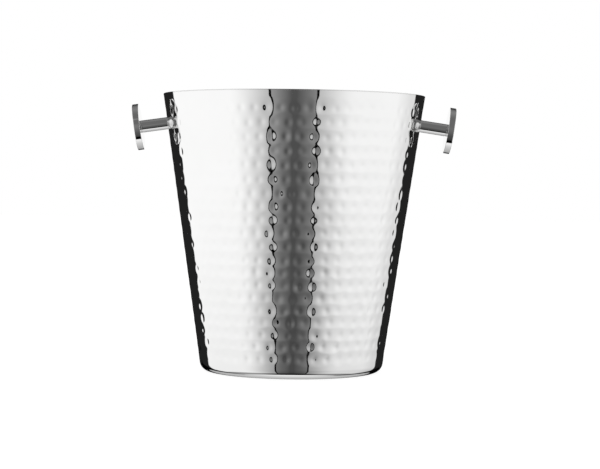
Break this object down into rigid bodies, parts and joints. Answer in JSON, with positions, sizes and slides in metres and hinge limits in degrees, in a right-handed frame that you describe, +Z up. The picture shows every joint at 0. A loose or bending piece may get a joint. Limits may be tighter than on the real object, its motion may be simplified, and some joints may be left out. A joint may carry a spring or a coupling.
{
  "type": "champagne bucket",
  "caption": "Tapered double-walled steel bucket for chilling bottles, with a hand-hammered outside, a smooth inside and a disc-ended knob handle on each side.",
  "frame": {"origin": "centre of the flat ring that the bucket stands on", "axes": "+Z up along the bucket's axis; the two handles lie along X"},
  "size_m": [0.2678, 0.216, 0.228],
  "materials": {
    "hammered_shell": "polished",
    "polished_handle": "polished",
    "satin_liner": "satin",
    "plain_steel": "satin"
  },
  "bodies": {
    "root": {"outer_shell": "hammered_shell", "inner_liner": "satin_liner", "left_handle_disc": "polished_handle", "left_handle_stem": "polished_handle", "left_backing_plate": "plain_steel", "left_lock_washer": "plain_steel", "left_handle_screw": "plain_steel", "right_handle_disc": "polished_handle", "right_handle_stem": "polished_handle", "right_backing_plate": "plain_steel", "right_lock_washer": "plain_steel", "right_handle_screw": "plain_steel"}
  },
  "joints": []
}
